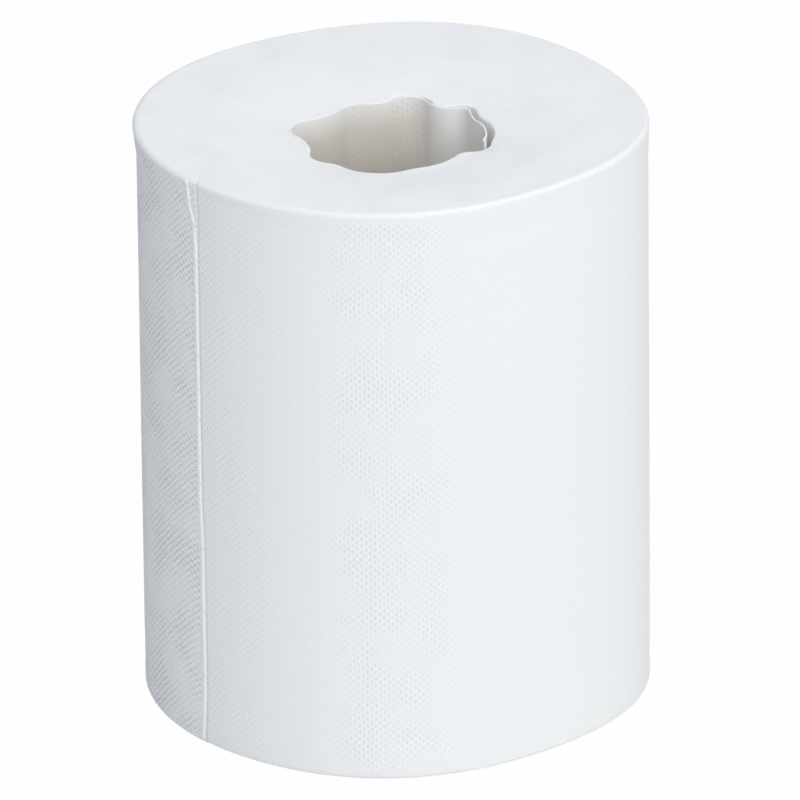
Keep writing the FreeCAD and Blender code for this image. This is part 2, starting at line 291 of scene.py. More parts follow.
@dataclass
class WoundWeb:
    """The wound body: spun from one closed section, then drawn to the outline."""

    outline: Outline
    creases: Creases
    tail: TailLine
    plain_bore: float = 31 * MM
    plain_outside: float = 82 * MM
    rim_round: float = 1.8 * MM
    hole_round: float = 0.7 * MM
    round_segments: int = 6
    end_share: float = 0.9
    wall_rows: int = 63
    end_rings: int = 53
    bore_rows: int = 20
    row_gather: float = 0.86
    dish_depth: float = 3.0 * MM
    dish_radius: float = 66 * MM
    dish_soft: float = 0.5
    turn_relief: float = 0.04 * MM
    turn_uneven: float = 0.12 * MM
    turn_uneven_size: float = 5 * MM
    fold_fade: float = 14 * MM
    turn_pitch: float = 0.48 * MM
    scored_inset: float = 0.1 * MM
    swell_from: float = 0.8
    tail_from: float = 0.9

    def section(self) -> bmesh.types.BMesh:
        """Make the closed section that is spun: a rectangle with rounded and divided sides.

        Returns:
            The section, in the XZ plane.
        """
        shape = bmesh.new()
        height = self.creases.height
        corners = [
            shape.verts.new((across, 0, up))
            for across, up in (
                (self.plain_bore, 0), (self.plain_outside, 0),
                (self.plain_outside, height), (self.plain_bore, height),
            )
        ]
        sides = [shape.edges.new((a, b)) for a, b in zip(corners, corners[1:] + corners[:1])]
        cuts = (self.end_rings, self.wall_rows, self.end_rings, self.bore_rows)
        rounds = (self.hole_round, self.rim_round, self.rim_round, self.hole_round)
        for corner, size in zip(corners, rounds):
            self.round_corner(shape, corner, size)
        for side, count in zip(self.long_sides(shape, sides), cuts):
            bmesh.ops.subdivide_edges(shape, edges=[side], cuts=count)
        return shape

    def round_corner(self, shape: bmesh.types.BMesh, corner: bmesh.types.BMVert, size: float) -> None:
        """Round one corner of the section by an arc of short edges.

        Args:
            shape: The section.
            corner: The corner to round.
            size: The radius.
        """
        bmesh.ops.bevel(
            shape, geom=[corner], offset=size, offset_type="OFFSET", segments=self.round_segments,
            profile=0.5, affect="VERTICES", material=-1,
        )

    def long_sides(self, shape: bmesh.types.BMesh, sides: list) -> list[bmesh.types.BMEdge]:
        """Find the four straight sides left after the corners are rounded, in their first order.

        Args:
            shape: The section.
            sides: The sides before rounding; their number says how many to find.

        Returns:
            Lower end, outside, upper end, hole.
        """
        longest = sorted(shape.edges, key=lambda edge: -edge.calc_length())[:len(sides)]
        level = [edge for edge in longest if abs(edge.verts[0].co.z - edge.verts[1].co.z) < self.hole_round]
        upright = [edge for edge in longest if edge not in level]
        level.sort(key=lambda edge: edge.verts[0].co.z)
        upright.sort(key=lambda edge: -edge.verts[0].co.x)
        return [level[0], upright[0], level[1], upright[1]]

    def gather(self, height: float) -> float:
        """Draw the wall's rows together towards both ends, where its form changes fastest.

        Args:
            height: A row's height on the plain body.

        Returns:
            Its height on the roll.
        """
        middle = self.creases.height / 2
        straight = middle - self.rim_round
        bend = self.row_gather * math.pi / 2
        share = min(max((height - middle) / straight, -1.0), 1.0)
        return middle + straight * math.sin(share * bend) / math.sin(bend)

    def wall_height(self, plain: Vector) -> float:
        """Give the height that a vertex takes on the roll, before the end sinks.

        Args:
            plain: Its place on the plain body.

        Returns:
            The height.
        """
        middle = self.creases.height / 2
        on_wall = plain.xy.length > self.plain_outside - TOUCH
        if on_wall and abs(plain.z - middle) < middle - self.rim_round:
            return self.gather(plain.z)
        return plain.z

    def upper_drop(self, place: Vector) -> float:
        """Give how far the upper end has sunk at a place.

        Args:
            place: A place on the end.

        Returns:
            The distance down.
        """
        reach = (place.xy - self.outline.cad.middle.xy).length
        share = (self.dish_radius - reach) / (self.dish_radius - self.plain_bore)
        share = min(max(share, 0.0), 1.0)
        eased = share * share / (share + self.dish_soft * (1 - share)) if share else 0.0
        return self.dish_depth * eased

    def shaped(self, plain: Vector) -> Vector:
        """Draw one vertex of the plain spun body to the real roll.

        Args:
            plain: Its place on the plain body.

        Returns:
            Its place on the roll.
        """
        outline = self.outline
        column = outline.column_of(plain)
        angle = outline.angles[column]
        from_bore = plain.xy.length - self.plain_bore
        top = self.creases.height
        share = from_bore / (self.plain_outside - self.plain_bore)
        fade = math.exp(-max(from_bore, 0.0) / self.fold_fade)
        hole = outline.mean_bore + (outline.bore[column] - outline.mean_bore) * fade
        way = Vector((math.cos(angle), math.sin(angle), 0))
        inner = outline.cad.middle.copy()
        inner.z = 0
        inner += way * (hole + min(from_bore, 0.0))
        height = self.wall_height(plain)
        radius = outline.outer[column]
        swell = self.creases.swell(angle, radius, height) * smooth_step(self.swell_from, 1.0, share)
        from_tail = (math.degrees(angle) - outline.tail_degrees + 180) % 360 - 180
        pull = math.radians(self.tail.pull(from_tail, height))
        turned = angle + pull * smooth_step(self.tail_from, 1.0, share)
        outer = Vector((math.cos(turned), math.sin(turned), 0)) * (radius + swell)
        place = inner.lerp(outer, min(max(share, 0.0), 1.0))
        place.z = height
        if height > top / 2:
            place.z -= self.upper_drop(place)
        return place

    def scored(self, plain: Vector, place: Vector) -> Vector:
        """Raise and sink the turns on the two ends by turns.

        Args:
            plain: The vertex on the plain body.
            place: The same vertex on the roll.

        Returns:
            The place with the turns' relief.
        """
        top = self.creases.height
        flat = plain.z < TOUCH or plain.z > top - TOUCH
        from_bore = plain.xy.length - self.plain_bore
        band = self.plain_outside - self.plain_bore
        inside = MM < from_bore < band - self.rim_round - self.scored_inset
        if not (flat and inside):
            return place
        ring = round(from_bore / band * self.end_rings)
        spot = Vector((place.x, place.y, ring * MM)) / self.turn_uneven_size
        sink = (self.turn_relief if ring % 2 else 0.0) + self.turn_uneven * abs(noise.noise(spot))
        place.z += sink if plain.z < top / 2 else -sink
        return place

    def build(self) -> bpy.types.Object:
        """Spin the section, draw it to the outline and lay out its map.

        Returns:
            The piece.
        """
        shape = self.section()
        bmesh.ops.spin(
            shape, geom=shape.verts[:] + shape.edges[:], cent=(0, 0, 0), axis=(0, 0, 1),
            angle=FULL_TURN, steps=self.outline.columns, use_merge=True,
        )
        bmesh.ops.remove_doubles(shape, verts=shape.verts[:], dist=MERGE)
        bmesh.ops.recalc_face_normals(shape, faces=shape.faces[:])
        plain = {vert: vert.co.copy() for vert in shape.verts}
        self.lay_map(shape, plain)
        self.sharpen_tail(shape, plain)
        for vert, start in plain.items():
            vert.co = self.scored(start, self.shaped(start))
        bmesh.ops.recalc_face_normals(shape, faces=shape.faces[:])
        return finish_piece("wound_web", shape)

    def sharpen_tail(self, shape: bmesh.types.BMesh, plain: dict) -> None:
        """Keep the one-sheet step at the loose end crisp.

        Args:
            shape: The spun body.
            plain: Each vertex's place on the plain body.
        """
        outline = self.outline
        ends = (outline.tail_column, outline.tail_column + 1)
        for edge in shape.edges:
            first, second = (plain[vert] for vert in edge.verts)
            outside = min(first.xy.length, second.xy.length) > self.plain_outside - self.rim_round
            columns = [outline.column_of(place) for place in (first, second)]
            if outside and columns[0] == columns[1] and columns[0] in ends:
                edge.smooth = False

    def kind_of(self, centre: Vector) -> Face:
        """Tell which finish a face takes.

        Args:
            centre: The middle of the face on the plain body.

        Returns:
            The finish.
        """
        if centre.xy.length < self.plain_bore + self.hole_round / 2:
            return Face.HOLE
        level = centre.z < self.hole_round or centre.z > self.creases.height - self.hole_round
        rim = self.plain_outside - self.rim_round * self.end_share
        return Face.CUT_END if level and centre.xy.length < rim else Face.WEB

    def lay_map(self, shape: bmesh.types.BMesh, plain: dict) -> None:
        """Give each corner its place along and across the web, or its turn on an end.

        Args:
            shape: The spun body.
            plain: Each vertex's place on the plain body.
        """
        layer = shape.loops.layers.uv.new(WEB_MAP)
        outline = self.outline
        column_run = FULL_TURN * self.plain_outside / outline.columns
        for face in shape.faces:
            kind = self.kind_of(sum((plain[vert] for vert in face.verts), Vector()) / len(face.verts))
            face.material_index = kind.value
            runs = [outline.run_of(outline.column_of(plain[vert])) for vert in face.verts]
            crosses = max(runs) - min(runs) > outline.columns / 2
            for loop, run in zip(face.loops, runs):
                start = plain[loop.vert]
                if crosses and kind is Face.WEB:
                    run = 0
                elif crosses and run == 0:
                    run = outline.columns
                if kind is Face.CUT_END:
                    turn = (start.xy.length - self.plain_bore) / self.turn_pitch + run / outline.columns
                    loop[layer].uv = (turn, run * column_run)
                elif kind is Face.HOLE:
                    loop[layer].uv = (CLEAR_OF_TAIL + run * column_run, start.z)
                else:
                    loop[layer].uv = (run * column_run, self.wall_height(start))


def finish_piece(name: str, shape: bmesh.types.BMesh) -> bpy.types.Object:
    """Turn a finished bmesh into a smooth object at the origin.

    Args:
        name: The piece's name.
        shape: Its mesh, which is freed.

    Returns:
        The object.
    """
    mesh = bpy.data.meshes.new(name)
    shape.to_mesh(mesh)
    shape.free()
    mesh.shade_smooth()
    piece = bpy.data.objects.new(name, mesh)
    bpy.context.scene.collection.objects.link(piece)
    return piece


@dataclass
class InnerTurn:
    """The free innermost turn: a thin upright wall that closes on the hole further round."""

    outline: Outline
    wound: WoundWeb
    start: float = -13.6
    end: float = 199.0
    settled: float = 140.0
    stand_off: float = 0.3 * MM
    thickness: float = 0.62 * MM
    columns: int = 380
    rows: int = 23
    plain_radius: float = 30 * MM
    round_share: float = 0.46
    round_segments: int = 4
    proud: float = 0.30 * MM
    wave: float = 0.35 * MM
    wave_size: float = 7 * MM
    ruffle: float = 0.12 * MM
    ruffle_size: float = 2.5 * MM
    flare: float = 1.2 * MM
    flare_run: float = 5.0
    nub: float = 0.9 * MM
    settle_run: float = 20.0
    merge_run: float = 22.0
    merge_extra: float = 0.5 * MM
    edge_inset: float = 0.4
    foot: float = 0.25 * MM

    def radius(self, degrees: float) -> float:
        """Give the wall's inner radius from the hole's middle.

        Args:
            degrees: The direction.

        Returns:
            The radius, in metres.
        """
        face = self.outline.cad.inner_face(math.radians(max(degrees, self.start + self.edge_inset)))
        face -= self.stand_off * smooth_step(self.settled - self.settle_run, self.settled, degrees)
        flare = self.flare * smooth_step(self.start + self.flare_run, self.start, degrees)
        merged = smooth_step(self.end - self.merge_run, self.end, degrees)
        return face + flare + merged * (self.thickness + self.merge_extra)

    def section(self) -> bmesh.types.BMesh:
        """Make the wall's closed section: thin, upright and round at both ends.

        Returns:
            The section, in the XZ plane.
        """
        shape = bmesh.new()
        top = self.wound.creases.height
        low, high = self.plain_radius, self.plain_radius + self.thickness
        corners = [
            shape.verts.new((across, 0, up)) for across, up in ((low, 0), (high, 0), (high, top), (low, top))
        ]
        for before, after in zip(corners, corners[1:] + corners[:1]):
            shape.edges.new((before, after))
        bmesh.ops.bevel(
            shape, geom=corners, offset=self.thickness * self.round_share, offset_type="OFFSET",
            segments=self.round_segments, profile=0.5, affect="VERTICES", material=-1,
        )
        upright = [edge for edge in shape.edges if edge.calc_length() > top / 2]
        bmesh.ops.subdivide_edges(shape, edges=upright, cuts=self.rows)
        return shape

    def build(self) -> bpy.types.Object:
        """Spin the section part of the way round and draw it to the hole.

        Returns:
            The piece.
        """
        shape = self.section()
        turn = math.radians(self.end - self.start)
        bmesh.ops.spin(
            shape, geom=shape.verts[:] + shape.edges[:], cent=(0, 0, 0), axis=(0, 0, 1),
            angle=turn, steps=self.columns, use_merge=False,
        )
        rims = [edge for edge in shape.edges if edge.is_boundary]
        bmesh.ops.holes_fill(shape, edges=rims, sides=0)
        bmesh.ops.recalc_face_normals(shape, faces=shape.faces[:])
        radii = self.column_radii()
        step = turn / self.columns
        self.lay_map(shape, step)
        for vert in shape.verts:
            column = self.column_of(vert.co, step)
            vert.co = self.shaped(vert.co, column * step, radii[column])
        return finish_piece("inner_turn", shape)

    def lay_map(self, shape: bmesh.types.BMesh, step: float) -> None:
        """Give each corner its place along and across the web.

        Args:
            shape: The spun wall, before it is drawn to the hole.
            step: The angle from one column to the next, in radians.
        """
        layer = shape.loops.layers.uv.new(WEB_MAP)
        for face in shape.faces:
            face.material_index = Face.HOLE.value
            for loop in face.loops:
                column = self.column_of(loop.vert.co, step)
                loop[layer].uv = (CLEAR_OF_TAIL + column * step * self.plain_radius, loop.vert.co.z)

    def shaped(self, plain: Vector, turned: float, radius: float) -> Vector:
        """Draw one vertex of the plain wall to the hole.

        Args:
            plain: Its place on the plain wall.
            turned: How far round from the wall's start it stands, in radians.
            radius: The wall's inner radius there.

        Returns:
            Its place on the roll.
        """
        top = self.wound.creases.height
        angle = math.radians(self.start) + turned
        reach = radius + plain.xy.length - self.plain_radius
        place = self.outline.cad.middle.copy()
        place.x += reach * math.cos(angle)
        place.y += reach * math.sin(angle)
        place.z = 0
        rise = self.proud + self.wave * noise.noise(place / self.wave_size)
        rise += self.ruffle * noise.noise(place / self.ruffle_size)
        rise += self.nub * smooth_step(self.flare_run / 2, 0, math.degrees(turned))
        upper = top - self.wound.upper_drop(place) + rise
        place.z = self.foot + plain.z / top * (upper - self.foot)
        if plain.z > top - self.thickness:
            place.z = upper - (top - plain.z)
        return place

    def column_of(self, place: Vector, step: float) -> int:
        """Find which column of the spun wall a vertex stands in."""
        angle = math.atan2(place.y, place.x)
        return round((angle if angle > -step else angle + FULL_TURN) / step)

    def column_radii(self) -> list[float]:
        """Read the wall's radius at each column.

        Returns:
            The radii, lightly smoothed.
        """
        turn = self.end - self.start
        raw = [self.radius(self.start + turn * number / self.columns) for number in range(self.columns + 1)]
        inner = [(a + 2 * b + c) / 4 for a, b, c in zip(raw, raw[1:], raw[2:])]
        return [raw[0], *inner, raw[-1]]


@dataclass
class TailLip:
    """The folded lip down the loose end, pinched where each tie was torn."""

    outline: Outline
    wound: WoundWeb
    tail: TailLine
    rows: int = 420
    around: int = 12
    half_width: float = 1.0 * MM
    proud: float = 0.44 * MM
    sunk: float = 0.35 * MM
    first_tie: float = 1.8 * MM
    tie_pitch: float = 22.8 * MM
    tie_half: float = 0.7 * MM
    tie_pinch: float = 0.7
    lap_back: float = 0.5
    ragged: float = 0.10
    ragged_size: float = 2.4 * MM
    foot: float = 1.2 * MM
    map_stretch: float = 4.0

    def pinch(self, height: float) -> float:
        """Give the share of its size that the lip keeps at a height.

        Args:
            height: Height above the lower end.

        Returns:
            The share.
        """
        from_tie = (height - self.first_tie + self.tie_pitch / 2) % self.tie_pitch - self.tie_pitch / 2
        near = from_tie / self.tie_half
        ends = min(height, self.wound.creases.height - height)
        ragged = 1 + self.ragged * noise.noise(Vector((0, 0, height / self.ragged_size)))
        return (1 - self.tie_pinch * math.exp(-near * near)) * ragged * smooth_step(0, self.foot, ends)

    def build(self) -> bpy.types.Object:
        """Roll a grid into a long thin tube and lay it down the loose end.

        Returns:
            The piece.
        """
        shape = bmesh.new()
        bmesh.ops.create_grid(shape, x_segments=self.around, y_segments=self.rows, size=0.5, calc_uvs=True)
        layer = shape.loops.layers.uv.verify()
        top = self.wound.creases.height
        for face in shape.faces:
            for loop in face.loops:
                across = CLEAR_OF_TAIL + loop.vert.co.x * self.half_width * self.map_stretch
                loop[layer].uv = (across, (loop.vert.co.y + 0.5) * top)
        for vert in shape.verts:
            vert.co = self.shaped((vert.co.x + 0.5) * FULL_TURN, (vert.co.y + 0.5) * top)
        bmesh.ops.remove_doubles(shape, verts=shape.verts[:], dist=MERGE)
        rims = [edge for edge in shape.edges if edge.is_boundary]
        bmesh.ops.holes_fill(shape, edges=rims, sides=0)
        bmesh.ops.recalc_face_normals(shape, faces=shape.faces[:])
        piece = finish_piece("tail_lip", shape)
        piece.data.uv_layers[0].name = WEB_MAP
        return piece

    def shaped(self, around: float, height: float) -> Vector:
        """Give one place on the lip's skin.

        Args:
            around: How far round the tube it lies, in radians.
            height: Height above the lower end.

        Returns:
            The place.
        """
        base = self.outline.outer[self.outline.tail_column]
        size = self.pinch(height)
        angle = math.radians(self.outline.tail_degrees + self.tail.lip_shift(height))
        swell = self.wound.creases.swell(angle, base, height)
        middle = base + swell + (self.proud - self.sunk) / 2 - self.rim_fall(height)
        out = (self.proud + self.sunk) / 2 * size * math.sin(around)
        aside = self.half_width * (size * math.cos(around) - self.lap_back)
        way = Vector((math.cos(angle), math.sin(angle), 0))
        place = way * (middle + out) + Vector((-way.y, way.x, 0)) * aside
        place.z = height
        return place

    def rim_fall(self, height: float) -> float:
        """Give how far the roll's rounded rim has fallen back.

        Args:
            height: Height above the lower end.

        Returns:
            The distance inwards.
        """
        rim = self.wound.rim_round
        into = max(rim - min(height, self.wound.creases.height - height), 0.0)
        return rim - math.sqrt(max(rim * rim - into * into, 0.0))


class Wiring:
    """Adds nodes to one node tree and joins them."""

    def __init__(self, tree: bpy.types.NodeTree) -> None:
        """Keep the tree that is wired."""
        self.tree = tree

    def add(self, kind: str, **settings: object) -> bpy.types.Node:
        """Add a node.

        Args:
            kind: Its type.
            settings: Properties to set on it.

        Returns:
            The node.
        """
        node = self.tree.nodes.new(kind)
        for name, value in settings.items():
            setattr(node, name, value)
        return node

    def feed(self, socket: bpy.types.NodeSocket, value: object) -> None:
        """Join a socket to another, or set its plain value.

        Args:
            socket: The socket to feed.
            value: Another socket, or the value.
        """
        if isinstance(value, bpy.types.NodeSocket):
            self.tree.links.new(value, socket)
        else:
            socket.default_value = value

    def math(self, operation: str, *values: object) -> bpy.types.NodeSocket:
        """Work out a number.

        Args:
            operation: The operation's name.
            values: Sockets or numbers.

        Returns:
            The result's socket.
        """
        node = self.add("ShaderNodeMath", operation=operation)
        for socket, value in zip(node.inputs, values):
            self.feed(socket, value)
        return node.outputs[0]

    def ramp(
        self, value: object, low: float, high: float, to_low: float, to_high: float,
    ) -> bpy.types.NodeSocket:
        """Map a number smoothly from one range to another.

        Args:
            value: The number.
            low: Start of its range.
            high: End of its range.
            to_low: What the start becomes.
            to_high: What the end becomes.

        Returns:
            The result's socket.
        """
        node = self.add("ShaderNodeMapRange", interpolation_type="SMOOTHSTEP")
        for name, number in (
            ("Value", value), ("From Min", low), ("From Max", high), ("To Min", to_low), ("To Max", to_high),
        ):
            self.feed(node.inputs[name], number)
        return node.outputs["Result"]

    def noise(self, vector: object, scale: object, detail: float) -> bpy.types.NodeSocket:
        """Make a soft noise from 0 to 1.

        Args:
            vector: Where to read it.
            scale: How fine it is.
            detail: How many finer layers it has.

        Returns:
            The noise's socket.
        """
        node = self.add("ShaderNodeTexNoise")
        self.feed(node.inputs["Vector"], vector)
        self.feed(node.inputs["Scale"], scale)
        self.feed(node.inputs["Detail"], detail)
        return node.outputs["Fac"]

    def uneven(self, vector: object, fineness: float, detail: float, size: object) -> bpy.types.NodeSocket:
        """Make a soft noise about zero.

        Args:
            vector: Where to read it.
            fineness: How fine it is.
            detail: How many finer layers it has.
            size: What it is multiplied by.

        Returns:
            The noise's socket.
        """
        centred = self.math("SUBTRACT", self.noise(vector, fineness, detail), 0.5)
        return self.math("MULTIPLY", centred, size)

    def apart(self, vector: object) -> bpy.types.NodeOutputs:
        """Part a vector into its numbers.

        Args:
            vector: The vector's socket.

        Returns:
            The sockets X, Y and Z.
        """
        node = self.add("ShaderNodeSeparateXYZ")
        self.feed(node.inputs[0], vector)
        return node.outputs

    def wave(self, value: object, period: object) -> bpy.types.NodeSocket:
        """Make a cosine wave of a number.

        Args:
            value: The number.
            period: The wave's length.

        Returns:
            The wave's socket, from -1 to 1.
        """
        turns = self.math("DIVIDE", value, period)
        return self.math("COSINE", self.math("MULTIPLY", turns, FULL_TURN))


def new_group(name: str, inputs: dict[str, str], outputs: dict[str, str]) -> tuple[Wiring, object, object]:
    """Start a shader node group.

    Args:
        name: Its name.
        inputs: Name and socket type of each input.
        outputs: Name and socket type of each output.

    Returns:
        Its wiring, its input node and its output node.
    """
    tree = bpy.data.node_groups.new(name, "ShaderNodeTree")
    for label, kind in inputs.items():
        tree.interface.new_socket(name=label, in_out="INPUT", socket_type=kind)
    for label, kind in outputs.items():
        tree.interface.new_socket(name=label, in_out="OUTPUT", socket_type=kind)
    wiring = Wiring(tree)
    return wiring, wiring.add("NodeGroupInput"), wiring.add("NodeGroupOutput")


@dataclass(frozen=True)
class MeshWeave:
    """The web's open mesh: staggered pores between crossing threads, with stronger relief, painted shade and
    painted highlight in bands, most of all on the left flank, where the light grazes the web.
    """

    stray: float = 1.3 * MM
    stray_fineness: float = 160.0
    stray_up: float = 1.1 * MM
    stray_up_fineness: float = 230.0
    patch_fineness: float = 55.0
    patch_run: tuple = (0.36, 0.62)
    patch_least: float = 0.3
    fibre_fineness: float = 1500.0
    left_edge: tuple = (-60.5 * MM, -65.5 * MM)
    beside_edge: tuple = (-28 * MM, -58 * MM)
    front_left: tuple = (-27 * MM, -12 * MM)
    front_right: tuple = (26 * MM, 9 * MM)
    # Band strengths; on the left flank the stronger painted shade and highlight stand for the light that
    # grazes it.
    left_strength: float = 0.5
    beside_strength: float = 0.45
    front_strength: float = 0.3
    rib: float = 0.2
    front_rib: float = 0.8
    row: float = 0.1
    left_row: float = 0.75
    # Towards the rims the mesh closes; the plainer, lighter band this leaves stands partly for the rims'
    # highlight.
    border_open: float = 0.25
    border_share: tuple = (0.3, 1.0)
    left_border: tuple = (0.9 * MM, 3.0 * MM)
    hem: tuple = (0.3 * MM, 1.8 * MM)
    pore_run: tuple = (0.35, 1.5)
    pore_full: float = 1.3
    thread_run: tuple = (-0.45, -0.98)
    thread_full: float = 1.2
    # The painted shadow beside the lip: how dark, and how far it reaches.
    shade: float = 0.8
    shade_run: tuple = (0.2 * MM, 1.1 * MM)
    fibre: float = 3.6
    # The fibre is stronger on the left flank, where its lit colour stands partly for the grazing light.
    left_fibre: float = 2.2
    fibre_relief: float = 0.15

    def build(self) -> bpy.types.NodeTree:
        """Make the node group.

        Returns:
            The group; it puts out a height in metres, a mask of the painted shade in the pores and beside
            the lip, and a mask of the raised threads and fibres, lighter partly as a painted highlight.
        """
        wiring, source, target = new_group(
            "mesh_weave",
            {
                "Web": "NodeSocketVector", "Place": "NodeSocketVector", "Along": "NodeSocketFloat",
                "Up": "NodeSocketFloat", "Depth": "NodeSocketFloat", "Roll Height": "NodeSocketFloat",
                "Border": "NodeSocketFloat", "Least": "NodeSocketFloat",
            },
            {"Height": "NodeSocketFloat", "Painted Shade": "NodeSocketFloat", "Fibre And Highlight": "NodeSocketFloat"},
        )
        given = source.outputs
        web = wiring.apart(given["Web"])
        left, beside, front = self.bands(wiring, given["Place"])
        lattice, threads = self.pattern(wiring, given, left, front)
        # How strong the relief and the painted shade and highlight are at each place.
        strength = wiring.math("MULTIPLY", self.relief_and_painted_light(wiring, given, left, beside, front),
                               self.free_of_rims(wiring, given, web["Y"], left))
        # Painted shade in the pores, where the layer beneath lies in shade.
        pores = wiring.math("MULTIPLY", wiring.ramp(lattice, *self.pore_run, 0.0, self.pore_full), strength)
        # Raised thread crests, which take the lit colour as a painted highlight; the fibre added to them is
        # grain.
        raised = wiring.ramp(threads, *self.thread_run, 0.0, self.thread_full)
        raised = wiring.math("MULTIPLY", raised, strength)
        # Painted shadow in a strip beside the lip, where the lower layer lies in the crevice under the
        # sheet's edge.
        lip_shadow = wiring.ramp(web["X"], *self.shade_run, self.shade, 0.0)
        fibre_size = wiring.math("MULTIPLY_ADD", left, self.left_fibre, self.fibre)
        fibre = wiring.uneven(given["Web"], self.fibre_fineness, 3.0, fibre_size)
        sink = wiring.math("SUBTRACT", wiring.math("MULTIPLY", fibre, self.fibre_relief),
                           wiring.math("MULTIPLY", lattice, strength))
        wiring.feed(target.inputs["Painted Shade"], wiring.math("MAXIMUM", pores, lip_shadow))
        wiring.feed(target.inputs["Fibre And Highlight"], wiring.math("ADD", fibre, raised))
        wiring.feed(target.inputs["Height"], wiring.math("MULTIPLY", sink, given["Depth"]))
        return wiring.tree

    def bands(self, wiring: Wiring, place: bpy.types.NodeSocket) -> tuple:
        """Mask the three bands where the mesh's relief, painted shade and painted highlight are stronger.

        Args:
            wiring: The group's wiring.
            place: The place on the roll.

        Returns:
            Masks of the left flank, of the web beside it and of the front.
        """
        aside = wiring.apart(place)["X"]
        left = wiring.ramp(aside, *self.left_edge, 0.0, 1.0)
        beside = wiring.ramp(aside, *self.beside_edge, 0.0, self.beside_strength)
        front = wiring.math("MULTIPLY", wiring.ramp(aside, *self.front_left, 0.0, 1.0),
                            wiring.ramp(aside, *self.front_right, 0.0, 1.0))
        return left, beside, front

    def pattern(self, wiring: Wiring, given: bpy.types.NodeOutputs, left: object, front: object) -> tuple:
        """Cross two sets of slanting threads, with ribs and rows of half their pitch.

        Args:
            wiring: The group's wiring.
            given: The group's inputs.
            left: Mask of the left flank.
            front: Mask of the front.

        Returns:
            The lattice, high in the pores, and the threads, low along each thread.
        """
        web = wiring.apart(given["Web"])
        stray = wiring.uneven(given["Web"], self.stray_fineness, 2.0, self.stray)
        stray_up = wiring.uneven(given["Web"], self.stray_up_fineness, 2.0, self.stray_up)
        along = wiring.math("ADD", web["X"], stray)
        up = wiring.math("ADD", web["Y"], stray_up)
        ribs = wiring.math("MULTIPLY", wiring.wave(along, wiring.math("MULTIPLY", given["Along"], 0.5)),
                           wiring.math("MULTIPLY_ADD", front, self.front_rib, self.rib))
        rows = wiring.math("MULTIPLY", wiring.wave(up, wiring.math("MULTIPLY", given["Up"], 0.5)),
                           wiring.math("MULTIPLY_ADD", left, self.left_row, self.row))
        skew = wiring.math("DIVIDE", wiring.math("MULTIPLY", up, given["Along"]), given["Up"])
        rising = wiring.wave(wiring.math("SUBTRACT", along, skew), given["Along"])
        falling = wiring.wave(wiring.math("ADD", along, skew), given["Along"])
        crossed = wiring.math("MULTIPLY", wiring.math("ADD", rising, falling), 0.5)
        lattice = wiring.math("ADD", crossed, wiring.math("ADD", ribs, rows))
        return lattice, wiring.math("MINIMUM", rising, falling)

    def relief_and_painted_light(
        self, wiring: Wiring, given: bpy.types.NodeOutputs, left: object, beside: object, front: object,
    ) -> bpy.types.NodeSocket:
        """Work out how strong the mesh's relief, painted shade and painted highlight are, which changes from
        patch to patch.

        Args:
            wiring: The group's wiring.
            given: The group's inputs.
            left: Mask of the left flank.
            beside: Mask of the web beside it.
            front: Mask of the front.

        Returns:
            The share's socket.
        """
        relief_and_painted_light = wiring.math("MULTIPLY_ADD", left, self.left_strength, beside)
        relief_and_painted_light = wiring.math("MULTIPLY_ADD", front, self.front_strength, relief_and_painted_light)
        relief_and_painted_light = wiring.math("ADD", relief_and_painted_light, given["Least"])
        patch = wiring.noise(given["Web"], self.patch_fineness, 3.0)
        patch = wiring.ramp(patch, *self.patch_run, self.patch_least, 1.0)
        return wiring.math("MULTIPLY", relief_and_painted_light, patch)

    def free_of_rims(
        self, wiring: Wiring, given: bpy.types.NodeOutputs, height: object, left: object,
    ) -> bpy.types.NodeSocket:
        """Close the mesh and fade its painted shade towards both rims, later on the left flank; the lighter
        band this leaves at the rims is also a painted highlight.

        Args:
            wiring: The group's wiring.
            given: The group's inputs.
            height: The place across the web.
            left: Mask of the left flank.

        Returns:
            The share of the mesh that is left.
        """
        edge = wiring.math("MINIMUM", height, wiring.math("SUBTRACT", given["Roll Height"], height))
        inner = wiring.math("DIVIDE", edge, given["Border"])
        inner = wiring.ramp(inner, *self.border_share, self.border_open, 1.0)
        near_rim = wiring.math("MULTIPLY", left, wiring.ramp(edge, *self.left_border, 0.0, 1.0))
        inner = wiring.math("MAXIMUM", inner, near_rim)
        return wiring.math("MULTIPLY", inner, wiring.ramp(edge, *self.hem, 0.0, 1.0))


